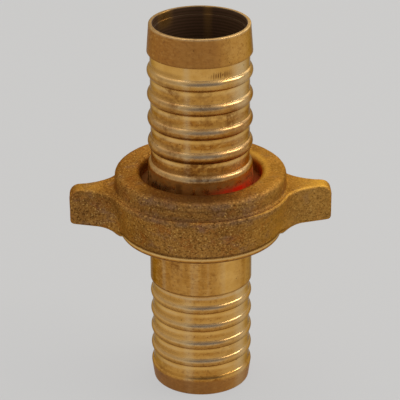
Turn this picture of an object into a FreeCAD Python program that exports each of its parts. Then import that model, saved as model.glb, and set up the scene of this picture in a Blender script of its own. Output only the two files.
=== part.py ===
import FreeCAD, Part
import math
import os
import re
import Sketcher

# Three-piece hose union, millimetres.
# A threaded hose tail stands on its end ring, a collar tail stands on it with a flat seal between
# them, and a cast wing nut holds the collar down on the thread. Everything turned shares the Z axis
# and the wings of the nut point along X. The origin is the middle of the lowest end ring.

# Driving sizes

SIZES = {
    # Both tails
    "bore_radius": 22.0,
    # Threaded tail, from its end ring upwards
    "base_ring_radius": 23.9,
    "end_cone_height": 8.4,
    "end_crest_radius": 1.6,
    "lower_floor_radius": 24.1,
    "lower_crest_radius": 25.1,
    "lower_rib_width": 4.3,
    "lower_rib_pitch": 9.85,
    "lower_rib_count": 4,
    "ribbed_length": 55.5,
    "shank_radius": 25.1,
    "threaded_tail_length": 98.5,
    "thread_length": 16.5,
    "thread_major_radius": 32.855,
    "thread_depth": 1.479,
    "thread_pitch": 2.309,
    "thread_clearance": 0.3,
    "undercut_clearance": 0.35,
    "undercut_length": 3.46,
    "spigot_cone_height": 3.5,
    "spigot_chamfer": 1.4,
    # Flat seal
    "seal_thickness": 2.5,
    "seal_inner_radius": 22.8,
    "seal_outer_radius": 30.4,
    # Collar tail, from its collar upwards
    "collar_thickness": 5.4,
    "collar_clearance": 0.35,
    "collar_chamfer": 0.6,
    "collar_tail_length": 87.4,
    "upper_floor_radius": 23.9,
    "upper_crest_radius": 25.4,
    "upper_rib_width": 5.54,
    "upper_rib_pitch": 12.18,
    "upper_rib_count": 5,
    "first_rib_height": 15.4,
    "neck_radius": 25.9,
    "end_band_height": 14.1,
    "end_band_radius": 25.35,
    "rim_radius": 24.3,
    "mouth_radius": 22.4,
    "mouth_depth": 3.8,
    # Wing nut
    "nut_height": 32.5,
    "nut_flange_thickness": 7.0,
    "nut_hole_radius": 29.4,
    "hole_rim_radius": 3.0,
    "recess_height": 9.4,
    "recess_clearance": 0.45,
    "ledge_width": 3.2,
    "boss_height": 8.6,
    "boss_shoulder_radius": 2.7,
    "boss_foot_radius": 1.2,
    "ring_top_radius": 45.1,
    "ring_taper": 5.2,
    "rim_band_height": 2.9,
    "rim_band_step": 0.7,
    "rim_chamfer": 0.7,
    "web_foot_height": 1.0,
    "web_foot_step": 1.3,
    "wing_length": 19.0,
    "wing_height": 18.6,
    "wing_foot_drop": 2.6,
    "wing_thickness": 9.8,
    "wing_tip_radius": 5.0,
    "wing_underside_radius": 2.2,
    "wing_root_radius": 16.0,
    "cast_edge_radius": 2.0,
    "skirt_length": 32.0,
}

# Heights above the standing face, as sums of the driving sizes

SEAL_TOP = "threaded_tail_length + seal_thickness"
COLLAR_TOP = SEAL_TOP + " + collar_thickness"
TAIL_TOP = SEAL_TOP + " + collar_tail_length"
FIRST_RIB = SEAL_TOP + " + first_rib_height"
NUT_TOP = COLLAR_TOP + " + nut_flange_thickness"
LEDGE = NUT_TOP + " - boss_height"
WING_FOOT = LEDGE + " - wing_height"
NUT_FOOT = NUT_TOP + " - nut_height"
BAND_TOP = NUT_FOOT + " + rim_band_height"
RECESS_FOOT = COLLAR_TOP + " - recess_height"
THREAD_FOOT = "threaded_tail_length - thread_length"

# Radii of the thread, left as plain cylinders half a thread deep with a clearance between them

THREAD_MEAN = "thread_major_radius - thread_depth / 2"
MALE_RADIUS = THREAD_MEAN + " - thread_clearance / 2"
FEMALE_RADIUS = THREAD_MEAN + " + thread_clearance / 2"
UNDERCUT_RADIUS = "thread_major_radius - thread_depth - undercut_clearance"
COLLAR_RADIUS = "thread_major_radius - thread_depth - collar_clearance"

# Radii of the nut, in from the top of its ring or out from it

BOSS_RADIUS = "(ring_top_radius - ledge_width)"
RING_FOOT_RADIUS = "(ring_top_radius - ring_taper)"
RIM_BAND_RADIUS = "(ring_top_radius - ring_taper - rim_band_step)"
WING_REACH = "(ring_top_radius + wing_length)"

# A root blend ends before the rounding of the wing's tip: it may be this many times as large as
# the length of wing that the rounding leaves
ROOT_SHARE = 1.15
ROOT_RADIUS = "min(wing_root_radius; (wing_length - wing_tip_radius) * %s)" % ROOT_SHARE

# How far a rib's section reaches into the wall under it, so that the two join
RIB_BITE = 0.5
# Edges are picked by place within this distance
NEAR = 0.01
# A cut takes away at least this volume
LEAST_CUT = 1.0
# How far a cutter's section runs past the face that it leaves
CUTTER_OVERRUN = 1.0

doc = FreeCAD.newDocument("hose_union")
sheet = doc.addObject("Spreadsheet::Sheet", "Sizes")
for row, (name, number) in enumerate(SIZES.items(), start=1):
    sheet.set("A%d" % row, name)
    sheet.set("B%d" % row, str(number))
    sheet.setAlias("B%d" % row, name)
doc.recompute()


def bound(text):
    """The expression with every size name pointing at its cell."""
    return re.sub(r"\b(?!min\b)[a-z][a-z_]+", lambda word: "Sizes." + word.group(0), text)


def value(text):
    """The expression's number, in millimetres."""
    return float(sheet.evalExpression(bound(text)))


def new_body(label):
    body = doc.addObject("PartDesign::Body", label)
    body.Label = label
    return body


def origin_feature(body, role):
    return next(item for item in body.Origin.OriginFeatures if item.Role == role)


def fix_point(sketch, line, end, across, up):
    """Hold one end of a line at (across, up), each given as an expression of the sheet."""
    for kind, axis, text in (("DistanceX", -2, across), ("DistanceY", -1, up)):
        if text == "0":
            sketch.addConstraint(Sketcher.Constraint("PointOnObject", line, end, axis))
            continue
        if text.startswith("-"):
            text = text[1:]
            places = (line, end, -1, 1)
        else:
            places = (-1, 1, line, end)
        index = sketch.addConstraint(Sketcher.Constraint(kind, *places, value(text)))
        sketch.setExpression("Constraints[%d]" % index, bound(text))


def outline(body, name, corners, role="YZ_Plane", arcs=()):
    """A closed outline through the corners, on one of the body's own planes.

    Each corner is a pair of expressions, (across, up). arcs maps the index of a side to the
    expression of its radius, and that side then bulges away from the axis.
    """
    sketch = body.newObject("Sketcher::SketchObject", name)
    sketch.AttachmentSupport = [(origin_feature(body, role), "")]
    sketch.MapMode = "FlatFace"
    places = [FreeCAD.Vector(value(across), value(up), 0) for across, up in corners]
    count = len(places)
    bulges = dict(arcs)
    for side, start in enumerate(places):
        end = places[(side + 1) % count]
        if side in bulges:
            sketch.addGeometry(bulged_side(start, end, value(bulges[side])))
        else:
            sketch.addGeometry(Part.LineSegment(start, end))
    for side in range(count):
        last = (side - 1) % count
        sketch.addConstraint(Sketcher.Constraint("Coincident", last, 2, side, 1))
    for side, (across, up) in enumerate(corners):
        fix_point(sketch, side, 1, across, up)
    for side, radius in bulges.items():
        index = sketch.addConstraint(Sketcher.Constraint("Radius", side, value(radius)))
        sketch.setExpression("Constraints[%d]" % index, bound(radius))
    return sketch


def bulged_side(start, end, radius):
    """The arc from start up to end, bulging towards greater across values."""
    chord = end - start
    depth = math.sqrt(radius ** 2 - chord.Length ** 2 / 4)
    inward = FreeCAD.Vector(-chord.y, chord.x, 0).normalize()
    centre = (start + end) * 0.5 + inward * depth
    circle = Part.Circle(centre, FreeCAD.Vector(0, 0, 1), radius)
    return Part.ArcOfCircle(circle, *angles(centre, start, end))


def angles(centre, start, end):
    """The angles of start and end about the centre, the second after the first."""
    first = math.atan2(start.y - centre.y, start.x - centre.x)
    second = math.atan2(end.y - centre.y, end.x - centre.x)
    if second < first:
        second += 2 * math.pi
    return first, second


def turned(body, sketch, name, cut=False):
    """A full turn of the sketch about its upright axis, added to the body or cut from it."""
    before = body.Shape.Volume if cut else 0
    feature = body.newObject("PartDesign::Groove" if cut else "PartDesign::Revolution", name)
    feature.Profile = sketch
    feature.ReferenceAxis = (sketch, ["V_Axis"])
    feature.Angle = 360
    sketch.Visibility = False
    doc.recompute()
    if cut and body.Shape.Volume > before - LEAST_CUT:
        raise RuntimeError(name + " cuts nothing")
    return feature


def ribs(body, name, middle, crest, floor, width, pitch, count):
    """Round ribs in a row: one rib's section is turned, then repeated up the axis."""
    low = "%s - %s / 2" % (middle, width)
    high = "%s + %s / 2" % (middle, width)
    inner = "%s - %s" % (floor, RIB_BITE)
    rise = "(%s - %s)" % (crest, floor)
    radius = "((%s / 2) ^ 2 + %s ^ 2) / (2 * %s)" % (width, rise, rise)
    corners = [(inner, low), (floor, low), (floor, high), (inner, high)]
    section = outline(body, name + "_section", corners, arcs=[(1, radius)])
    first = turned(body, section, name + "_first")
    row = body.newObject("PartDesign::LinearPattern", name)
    row.Originals = [first]
    row.Direction = (section, ["V_Axis"])
    row.setExpression("Length", bound("%s * (%s - 1)" % (pitch, count)))
    row.setExpression("Occurrences", bound(count))
    body.Tip = row
    doc.recompute()
    return row


def rounded(body, name, radius, wanted):
    """A fillet of the given size on each edge of the body that the test picks."""
    base = body.Tip
    edges = enumerate(base.Shape.Edges, start=1)
    picked = ["Edge%d" % number for number, edge in edges if wanted(edge)]
    if not picked:
        raise RuntimeError(name + " finds no edge")
    feature = body.newObject("PartDesign::Fillet", name)
    feature.Base = (base, picked)
    feature.setExpression("Radius", bound(radius))
    doc.recompute()
    return feature


def middle_of(edge):
    return edge.valueAt((edge.FirstParameter + edge.LastParameter) / 2)


def ring_edge(radius, height):
    """Picks the round edge of this radius about the axis at this height."""
    def wanted(edge):
        point = middle_of(edge)
        on_radius = abs(math.hypot(point.x, point.y) - value(radius)) < NEAR
        return on_radius and abs(point.z - value(height)) < NEAR
    return wanted


# Threaded tail: end ring, ribs, plain shank and threaded spigot

threaded_tail = new_body("threaded_tail")
undercut_top = THREAD_FOOT + " + undercut_length"
turned(threaded_tail, outline(threaded_tail, "tail_section", [
    ("bore_radius", "0"),
    ("base_ring_radius", "0"),
    ("lower_crest_radius", "end_cone_height"),
    ("lower_floor_radius", "end_cone_height + lower_rib_width / 2"),
    ("lower_floor_radius", "ribbed_length"),
    ("shank_radius", "ribbed_length"),
    ("shank_radius", THREAD_FOOT + " - spigot_cone_height"),
    (UNDERCUT_RADIUS, THREAD_FOOT),
    (UNDERCUT_RADIUS, undercut_top),
    (MALE_RADIUS, undercut_top),
    (MALE_RADIUS, "threaded_tail_length - spigot_chamfer"),
    (MALE_RADIUS + " - spigot_chamfer", "threaded_tail_length"),
    ("bore_radius", "threaded_tail_length"),
]), "tail_turned")
ribs(threaded_tail, "lower_ribs", "end_cone_height + lower_rib_pitch", "lower_crest_radius",
     "lower_floor_radius", "lower_rib_width", "lower_rib_pitch", "lower_rib_count")
rounded(threaded_tail, "end_crest", "end_crest_radius",
        ring_edge("lower_crest_radius", "end_cone_height"))

# Flat seal between the two tails

sealing_washer = new_body("sealing_washer")
turned(sealing_washer, outline(sealing_washer, "seal_section", [
    ("seal_inner_radius", "threaded_tail_length"),
    ("seal_outer_radius", "threaded_tail_length"),
    ("seal_outer_radius", SEAL_TOP),
    ("seal_inner_radius", SEAL_TOP),
]), "seal_turned")

# Collar tail: collar, neck, ribs and a tapered end band with a counterbored mouth

collar_tail = new_body("collar_tail")
turned(collar_tail, outline(collar_tail, "tail_section", [
    ("bore_radius", SEAL_TOP),
    (COLLAR_RADIUS + " - collar_chamfer", SEAL_TOP),
    (COLLAR_RADIUS, SEAL_TOP + " + collar_chamfer"),
    (COLLAR_RADIUS, COLLAR_TOP),
    ("neck_radius", COLLAR_TOP),
    ("upper_crest_radius", FIRST_RIB),
    ("upper_floor_radius", FIRST_RIB),
    ("upper_floor_radius", TAIL_TOP + " - end_band_height"),
    ("end_band_radius", TAIL_TOP + " - end_band_height"),
    ("rim_radius", TAIL_TOP),
    ("mouth_radius", TAIL_TOP),
    ("mouth_radius", TAIL_TOP + " - mouth_depth"),
    ("bore_radius", TAIL_TOP + " - mouth_depth"),
]), "tail_turned")
ribs(collar_tail, "upper_ribs", FIRST_RIB, "upper_crest_radius",
     "upper_floor_radius", "upper_rib_width", "upper_rib_pitch", "upper_rib_count")

# Wing nut: a tapered cast ring and boss, two wings blended into it, then the turned faces.
# The ring is cast longer than it ends up, so that the root blends run out on it and the
# turned foot cuts them off.

wing_nut = new_body("wing_nut")
skirt_foot = BAND_TOP + " - skirt_length"
ring_slope = "ring_taper / (wing_height + %s - (%s))" % (WING_FOOT, BAND_TOP)
skirt_radius = "%s - skirt_length * %s" % (RING_FOOT_RADIUS, ring_slope)
turned(wing_nut, outline(wing_nut, "cast_section", [
    ("0", skirt_foot),
    (skirt_radius, skirt_foot),
    ("ring_top_radius", LEDGE),
    (BOSS_RADIUS, LEDGE),
    (BOSS_RADIUS, NUT_TOP),
    ("0", NUT_TOP),
]), "cast_ring")

wings_sketch = outline(wing_nut, "wings_outline", [
    ("-" + WING_REACH, WING_FOOT),
    ("-ring_top_radius", WING_FOOT + " - wing_foot_drop"),
    ("ring_top_radius", WING_FOOT + " - wing_foot_drop"),
    (WING_REACH, WING_FOOT),
    (WING_REACH, LEDGE),
    ("-" + WING_REACH, LEDGE),
], role="XZ_Plane")
wings = wing_nut.newObject("PartDesign::Pad", "wings")
wings.Profile = wings_sketch
wings.Midplane = True
wings.setExpression("Length", bound("wing_thickness"))
doc.recompute()


def wing_side_edge(edge):
    """Picks the long lower edges of the wings, which slope down towards the ring."""
    ends = [vertex.Point for vertex in edge.Vertexes]
    if len(ends) != 2 or abs(ends[0].y - ends[1].y) > NEAR or abs(ends[0].x - ends[1].x) < NEAR:
        return False
    side = value("wing_thickness / 2")
    return all(abs(abs(end.y) - side) < NEAR and end.z < value(WING_FOOT) + NEAR for end in ends)


def wing_root_edge(edge):
    """Picks the edges where the wings meet the tapered ring."""
    point = middle_of(edge)
    if not value(WING_FOOT + " - wing_foot_drop") - NEAR < point.z < value(LEDGE) - NEAR:
        return False
    above_band = point.z - value(BAND_TOP)
    ring = value(RING_FOOT_RADIUS) + above_band * value(ring_slope)
    return abs(math.hypot(point.x, point.y) - ring) < NEAR


def wing_tip_edge(edge):
    """Picks the upper edge across each wing's tip."""
    ends = [vertex.Point for vertex in edge.Vertexes]
    return len(ends) == 2 and all(
        abs(abs(end.x) - value(WING_REACH)) < NEAR and abs(end.z - value(LEDGE)) < NEAR for end in ends)


def ledge_edge(edge):
    """Picks the outline of the ledge, all round the ring and the wings."""
    point = middle_of(edge)
    outside = math.hypot(point.x, point.y) > value(BOSS_RADIUS) + NEAR
    return outside and abs(point.z - value(LEDGE)) < NEAR


rounded(wing_nut, "wing_undersides", "wing_underside_radius", wing_side_edge)
rounded(wing_nut, "wing_roots", ROOT_RADIUS, wing_root_edge)
rounded(wing_nut, "wing_tips", "wing_tip_radius", wing_tip_edge)
rounded(wing_nut, "cast_edges", "cast_edge_radius", ledge_edge)
rounded(wing_nut, "boss_shoulder", "boss_shoulder_radius", ring_edge(BOSS_RADIUS, NUT_TOP))
rounded(wing_nut, "boss_foot", "boss_foot_radius", ring_edge(BOSS_RADIUS, LEDGE))

cutter_foot = " - %s" % CUTTER_OVERRUN
turned(wing_nut, outline(wing_nut, "foot_cut", [
    ("0", skirt_foot + cutter_foot),
    ("ring_top_radius", skirt_foot + cutter_foot),
    ("ring_top_radius", NUT_FOOT + " + web_foot_height"),
    (RIM_BAND_RADIUS + " + web_foot_step", NUT_FOOT + " + web_foot_height"),
    (RIM_BAND_RADIUS, BAND_TOP),
    (RIM_BAND_RADIUS, NUT_FOOT + " + rim_chamfer"),
    (RIM_BAND_RADIUS + " - rim_chamfer", NUT_FOOT),
    ("0", NUT_FOOT),
]), "turned_foot", cut=True)

recess_radius = "thread_major_radius + recess_clearance"
turned(wing_nut, outline(wing_nut, "bore_cut", [
    ("0", NUT_FOOT + cutter_foot),
    ("%s + spigot_chamfer + %s" % (FEMALE_RADIUS, CUTTER_OVERRUN), NUT_FOOT + cutter_foot),
    (FEMALE_RADIUS, NUT_FOOT + " + spigot_chamfer"),
    (FEMALE_RADIUS, RECESS_FOOT),
    (recess_radius, RECESS_FOOT),
    (recess_radius, COLLAR_TOP),
    ("nut_hole_radius", COLLAR_TOP),
    ("nut_hole_radius", "%s + %s" % (NUT_TOP, CUTTER_OVERRUN)),
    ("0", "%s + %s" % (NUT_TOP, CUTTER_OVERRUN)),
]), "turned_bore", cut=True)

rounded(wing_nut, "hole_rim", "hole_rim_radius", ring_edge("nut_hole_radius", NUT_TOP))

# Every feature has to have worked before anything is written

doc.recompute()
failed = [item.Name for item in doc.Objects if "Invalid" in item.State or "Error" in item.State]
if failed:
    raise RuntimeError("failed: " + ", ".join(failed))

os.makedirs("parts", exist_ok=True)
for body in (threaded_tail, sealing_washer, collar_tail, wing_nut):
    shape = body.Shape
    if shape.isNull() or not shape.isValid() or len(shape.Solids) != 1:
        raise RuntimeError(body.Label + " isn't one valid solid")
    shape.exportStep("parts/%s.step" % body.Label)
    print(body.Label, round(shape.Volume), shape.BoundBox)
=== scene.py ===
"""The looks of a brass hose union: two turned hose tails, a red fibre seal and a cast wing nut.

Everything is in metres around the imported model. Lengths inside the functions are millimetres and
become metres in ring_mesh. Heights are measured from the face that the union stands on, and angles
round the axis are degrees from the camera's side, positive to its right.
"""

import math

import bpy
import numpy as np
from mathutils import Matrix, Quaternion, Vector


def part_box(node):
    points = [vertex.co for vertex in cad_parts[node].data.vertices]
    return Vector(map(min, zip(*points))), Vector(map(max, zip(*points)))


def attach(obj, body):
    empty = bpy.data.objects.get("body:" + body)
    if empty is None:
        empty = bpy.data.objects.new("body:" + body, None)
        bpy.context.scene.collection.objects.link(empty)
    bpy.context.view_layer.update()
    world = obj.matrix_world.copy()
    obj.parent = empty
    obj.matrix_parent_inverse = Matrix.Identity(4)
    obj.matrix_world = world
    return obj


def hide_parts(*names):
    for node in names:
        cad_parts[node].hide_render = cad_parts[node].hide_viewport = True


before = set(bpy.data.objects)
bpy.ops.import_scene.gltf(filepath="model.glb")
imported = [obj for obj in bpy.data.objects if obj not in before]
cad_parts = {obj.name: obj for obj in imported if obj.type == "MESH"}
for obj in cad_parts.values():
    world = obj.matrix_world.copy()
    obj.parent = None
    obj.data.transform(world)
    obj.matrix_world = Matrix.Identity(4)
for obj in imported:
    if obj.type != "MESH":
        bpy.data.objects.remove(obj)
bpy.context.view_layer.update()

MM = 0.001


def foot_of(node):
    """Lowest height of a CAD node, in millimetres."""
    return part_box(node)[0].z / MM


def top_of(node):
    """Highest height of a CAD node, in millimetres."""
    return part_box(node)[1].z / MM


# Heights that the pieces share
SEAL_FOOT = top_of("threaded_tail")
SEAL_TOP = top_of("sealing_washer")
COLLAR_TOP = SEAL_TOP + 5.4
TAIL_TOP = top_of("collar_tail")
NUT_FOOT = foot_of("wing_nut")
NUT_TOP = top_of("wing_nut")

# Thread: a 2 1/4 inch pipe thread, 11 turns to the inch, right handed. Its flanks are 55 degrees
# apart, so that the sharp V would be 0.96 of the pitch deep.
THREAD_PITCH = 25.4 / 11
THREAD_MAJOR = 32.855
THREAD_DEPTH = 1.479
THREAD_GAP = 0.12
THREAD_LENGTH = 16.5
SHARP_SHARE = 0.96

# Both tails: radii, columns of points round them, and in mm how far apart the points beside a rib
# and the tool's rings are
BORE = 22.0
COLLAR = 31.026
COLUMNS = 264
RIB_SPACING = 0.5
TOOL_RINGS = 1.579

# Lower tail: a cone, ribs at an even pitch over the cone's top, and the plain shank
LOWER_FLOOR, LOWER_CREST, LOWER_ROOT = 24.1, 25.1, 0.35
LOWER_WIDTH, LOWER_PITCH, LOWER_RIBS = 4.3, 9.85, 4
CONE_TOP = 8.4
SHANK_FOOT, SHANK = 55.5, 25.1
THREAD_FOOT = SEAL_FOOT - THREAD_LENGTH

# Upper tail: the neck, ribs from its top on, and the end band
UPPER_FLOOR, UPPER_CREST, UPPER_ROOT = 23.9, 25.4, 0.3
UPPER_WIDTH, UPPER_PITCH, UPPER_RIBS = 5.54, 12.18, 5
NECK = 25.9
FIRST_RIB = SEAL_TOP + 15.4
BAND_FOOT = TAIL_TOP - 14.1
MOUTH, MOUTH_DEPTH = 22.4, 3.8

# Stains on the tails: strength, angle and half width in degrees, height and half height in mm
LOWER_STAINS = [(0.85, -31, 9, 73, 8), (0.5, -55, 20, 10, 9), (0.35, 30, 26, 26, 9)]
UPPER_STAINS = [
    (0.6, -40, 24, 160, 9), (0.4, 35, 30, 147, 8), (0.5, 5, 50, 122, 9), (0.6, -60, 50, 108, 7),
]

# How much of the floor's grey shows of itself, and how much takes light and shadow
PALE = "#CECECE"
PALE_SHARE = 0.8
SHADOW_SHARE = 0.12


# Sections and surfaces

def rounded_path(corners, closed=True):
    """A path of (radius, height) through the corners, each cut off by an arc tangent to both sides.

    A corner is (radius, height, arc radius, spacing of the side that leaves it). The arc of
    radius a at a turn t starts a * tan(t / 2) before the corner.
    """
    count = len(corners)
    curves = []
    for index, (across, up, arc, _) in enumerate(corners):
        here = np.array([across, up], float)
        before = np.array(corners[index - 1][:2], float)
        after = np.array(corners[(index + 1) % count][:2], float)
        entering = (here - before) / np.linalg.norm(here - before)
        leaving = (after - here) / np.linalg.norm(after - here)
        turn = math.atan2(entering[0] * leaving[1] - entering[1] * leaving[0], entering @ leaving)
        if arc and (closed or 0 < index < count - 1):
            start = here - entering * arc * math.tan(abs(turn) / 2)
            side = math.copysign(1.0, turn)
            centre = start + side * arc * np.array([-entering[1], entering[0]])
            steps = max(2, round(abs(turn) / math.radians(15)))
            swing = np.linspace(0, turn, steps + 1)
            spoke = start - centre
            curves.append(centre + np.stack([
                spoke[0] * np.cos(swing) - spoke[1] * np.sin(swing),
                spoke[0] * np.sin(swing) + spoke[1] * np.cos(swing),
            ], axis=1))
        else:
            curves.append(here[None, :])
    path = []
    for index, curve in enumerate(curves):
        path.append(curve)
        if closed or index < count - 1:
            side = curves[(index + 1) % count][0] - curve[-1]
            steps = max(1, math.ceil(np.linalg.norm(side) / corners[index][3]))
            path.append(curve[-1] + side * np.arange(1, steps)[:, None] / steps)
    return np.concatenate(path)


def rib(middle, floor, crest, width, root):
    """Corners of one round rib, going up: an arc of height crest - floor over its width.

    Its radius is (w ^ 2 / 4 + h ^ 2) / (2 h), and its two roots are eased by a small arc.
    """
    rise = crest - floor
    radius = (width ** 2 / 4 + rise ** 2) / (2 * rise)
    opening = math.asin(width / 2 / radius)
    swing = np.linspace(-opening, opening, 15)
    across = floor - (radius - rise) + radius * np.cos(swing)
    up = middle + radius * np.sin(swing)
    eased = [root] + [0.0] * 13 + [root]
    sides = [1.0] * 14 + [RIB_SPACING]
    return list(zip(across, up, eased, sides))


def turned_grid(path, columns=COLUMNS):
    """The path turned about Z: x = r cos(a), y = r sin(a), with a going once round."""
    angle = np.linspace(0, 2 * np.pi, columns, endpoint=False)
    radius = path[:, 0][:, None]
    height = np.repeat(path[:, 1][:, None], columns, axis=1)
    return np.stack([radius * np.cos(angle), radius * np.sin(angle), height], axis=-1)


def thread_wave(angle, height):
    """Height of a right-handed V thread above its mean radius, from -depth / 2 to depth / 2.

    A triangle wave of z / pitch - a / 2 pi whose tips are cut off to the thread's depth.
    """
    phase = height / THREAD_PITCH - angle / (2 * np.pi)
    triangle = 4 * np.abs(phase - np.floor(phase + 0.5)) - 1
    return np.clip(triangle * SHARP_SHARE * THREAD_PITCH / 2, -THREAD_DEPTH / 2, THREAD_DEPTH / 2)


def ring_mesh(name, grid, body, node, finishes, finish_of_row=None, marks=None):
    """A closed ring of quads over a grid of points in millimetres, joined up both ways.

    Rows go up the outside and down the inside, columns go round, so faces point outwards. marks
    maps an attribute's name to one value for each point of the grid.
    """
    rows, columns = grid.shape[:2]
    index = np.arange(rows * columns).reshape(rows, columns)
    right = np.roll(index, -1, axis=1)
    above = np.roll(index, -1, axis=0)
    above_right = np.roll(right, -1, axis=0)
    quads = np.stack([index, right, above_right, above], axis=-1).reshape(-1, 4)
    mesh = bpy.data.meshes.new(name)
    mesh.vertices.add(rows * columns)
    mesh.vertices.foreach_set("co", (grid.reshape(-1, 3) * MM).astype(np.float32).ravel())
    mesh.loops.add(quads.size)
    mesh.loops.foreach_set("vertex_index", quads.astype(np.int32).ravel())
    mesh.polygons.add(len(quads))
    mesh.polygons.foreach_set("loop_start", np.arange(0, quads.size, 4, dtype=np.int32))
    for finish in finishes:
        mesh.materials.append(finish)
    if finish_of_row is not None:
        mesh.polygons.foreach_set("material_index", np.repeat(finish_of_row, columns).astype(np.int32))
    mesh.update(calc_edges=True)
    mesh.validate()
    mesh.shade_smooth()
    for mark, values in (marks or {}).items():
        attribute = mesh.attributes.new(mark, "FLOAT", "POINT")
        spread = np.broadcast_to(values, (rows, columns)).astype(np.float32)
        attribute.data.foreach_set("value", spread.ravel())
    piece = bpy.data.objects.new(name, mesh)
    bpy.context.scene.collection.objects.link(piece)
    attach(piece, body)
    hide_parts(node)
    return piece


# Wear, stains and painted light

def lattice_noise(points, size, seed):
    """Smooth value noise from -1 to 1: seeded random numbers on a cubic lattice of the given size,
    blended inside each cell by 3 t ^ 2 - 2 t ^ 3 along each axis.
    """
    side = 64
    lattice = np.random.default_rng(seed).uniform(-1, 1, (side, side, side))
    scaled = points / size
    cell = np.floor(scaled).astype(int)
    share = scaled - cell
    share = share * share * (3 - 2 * share)
    total = np.zeros(points.shape[:-1])
    for corner in np.ndindex(2, 2, 2):
        weight = np.prod(np.where(corner, share, 1 - share), axis=-1)
        place = (cell + corner) % side
        total += weight * lattice[place[..., 0], place[..., 1], place[..., 2]]
    return total


def upright_streaks(turn, height, degrees, seed):
    """Noise drawn out along the axis: one lump is so many degrees wide and 25 times as tall in mm."""
    return lattice_noise(np.stack([turn, 0.04 * height, 0 * turn], axis=-1), degrees, seed)


def bell(value, middle, half_width):
    """1 at the middle, falling smoothly to 0 at half_width to each side."""
    share = np.clip(np.abs(value - middle) / half_width, 0, 1)
    return (1 - share * share) ** 2


def below(height, edge, fade):
    """0 over an edge, rising to 1 over the fade under it."""
    return np.clip((edge - height) / fade, 0, 1)


def between(value, stops):
    """The amount at a value, in straight lines between the stops, {value: amount}."""
    return np.interp(value, list(stops), list(stops.values()))


def stained(turn, height, places):
    """The sum of soft round places, each strength * bell round the axis * bell up it."""
    return sum(strength * bell(turn, angle, half_angle) * bell(height, up, half_height)
               for strength, angle, half_angle, up, half_height in places)


def rib_wear_and_painted_light(turn, height, first, pitch, count, width):
    """How pale, orange-brown and dirty a row of ribs is, and where light and shade are painted on it,
    from the height over the nearest rib.

    The upper side of each rib is pale at the front, partly polished and partly a painted highlight,
    and elsewhere a painted highlight lies only near its root. Everything has an orange-brown patina
    but for painted highlight lines under and over each rib, and painted shade lies in the corner
    under it, mostly on the left. Painted shade also darkens each rib's lower side, more away from
    the front, and away from the front the foot of the floor over it, while painted reflections
    light the upper side and a line under the rib.
    """
    nearest = np.clip(np.round((height - first) / pitch), 0, count - 1)
    up = height - first - nearest * pitch
    root = 0.5 * width
    front = between(turn, {-40: 0, -22: 1, 18: 1, 32: 0})
    aside = between(turn, {-85: 0, -65: 1, -35: 1, -15: 0, 20: 0, 32: 0.7, 45: 0.2, 60: 0})
    left = between(turn, {-90: 0, -60: 0.1, -30: 0.25, 5: 0.2, 25: 0})
    painted_root_highlight = 0.5 * bell(up, 0.42 * width, 0.18 * width)
    rubbed_and_painted_highlight = np.maximum(front * bell(up, 0.3 * width, 0.34 * width), painted_root_highlight)
    rubbed_and_painted_highlight += 0.4 * aside * (bell(up, 0.25 * width, 0.27 * width) + bell(up, -root - 1.6, 1.5))
    tarnish_and_painted_light = 1 - bell(up, -root - 1.1, 1.5) - 0.5 * bell(up, root + 0.9, 1.4)
    dirt_and_painted_shade = left * bell(up, -root + 0.1, 0.8) + 0.3 * aside * bell(up, root + 1.3, 1.7)
    dirt_and_painted_shade += (0.15 + 0.2 * aside) * bell(up, -0.2 * width, 0.32 * width)
    return rubbed_and_painted_highlight, tarnish_and_painted_light, dirt_and_painted_shade


def angle_from_front(grid):
    """Degrees round the axis from the side that faces -Y, positive towards +X."""
    return np.degrees(np.arctan2(grid[..., 0], -grid[..., 1]))


# Materials

SMOOTH = {"interpolation_type": "SMOOTHSTEP"}
TIMES = {"operation": "MULTIPLY"}
LARGER = {"operation": "MAXIMUM"}


def linear(hex_colour):
    """The linear colour of an sRGB hex value, with alpha."""
    channels = [int(hex_colour[start:start + 2], 16) / 255 for start in (1, 3, 5)]
    turned = [c / 12.92 if c <= 0.04045 else ((c + 0.055) / 1.055) ** 2.4 for c in channels]
    return (*turned, 1.0)


def add(tree, kind, inputs=(), settings=None):
    """Adds one node with its settings and inputs.

    Inputs come in order, or by name or number. Each is a value, a hex colour, an output to link
    from, or a node, which stands for its first live output.
    """
    node = tree.nodes.new("ShaderNode" + kind)
    for name, value in (settings or {}).items():
        setattr(node, name, value)
    given = inputs if isinstance(inputs, dict) else dict(enumerate(inputs))
    for name, value in given.items():
        if isinstance(value, bpy.types.Node):
            value = next(output for output in value.outputs if output.enabled)
        if isinstance(value, bpy.types.NodeSocket):
            tree.links.new(value, node.inputs[name])
        else:
            node.inputs[name].default_value = linear(value) if isinstance(value, str) else value
    return node


def new_material(name):
    """A material with an empty node tree."""
    material = bpy.data.materials.new(name)
    material.use_nodes = True
    material.node_tree.nodes.clear()
    return material, material.node_tree


def layered(tree, colour, layers):
    """The colour with others laid over it in turn, each given as its share and its colour."""
    for share, over in layers:
        colour = add(tree, "Mix", {0: share, 6: colour, 7: over}, {"data_type": "RGBA"})
    return colour


def summed(tree, total, parts):
    """The total with more added to it, each given as a value and its weight."""
    for value, weight in parts:
        total = add(tree, "Math", [value, weight, total], {"operation": "MULTIPLY_ADD"})
    return total


def speckle(tree, place, size_mm, detail, roughness, stretch=(1, 1, 1), shift=(0, 0, 0)):
    """Noise whose lumps are about size_mm across, stretched along the axes by the given factors."""
    scale = tuple(1 / factor for factor in stretch)
    placed = add(tree, "Mapping", {"Vector": place, "Scale": scale, "Location": shift})
    return add(tree, "TexNoise", {
        "Vector": placed, "Scale": 1 / (size_mm * MM), "Detail": detail, "Roughness": roughness,
    })


def mesh_marks(tree, names):
    """The values of the mesh attributes that say where the surface is polished, stained or soiled, and
    where light and shade are painted on it.
    """
    return [add(tree, "Attribute", (), {"attribute_name": name}).outputs["Fac"] for name in names]


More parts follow.
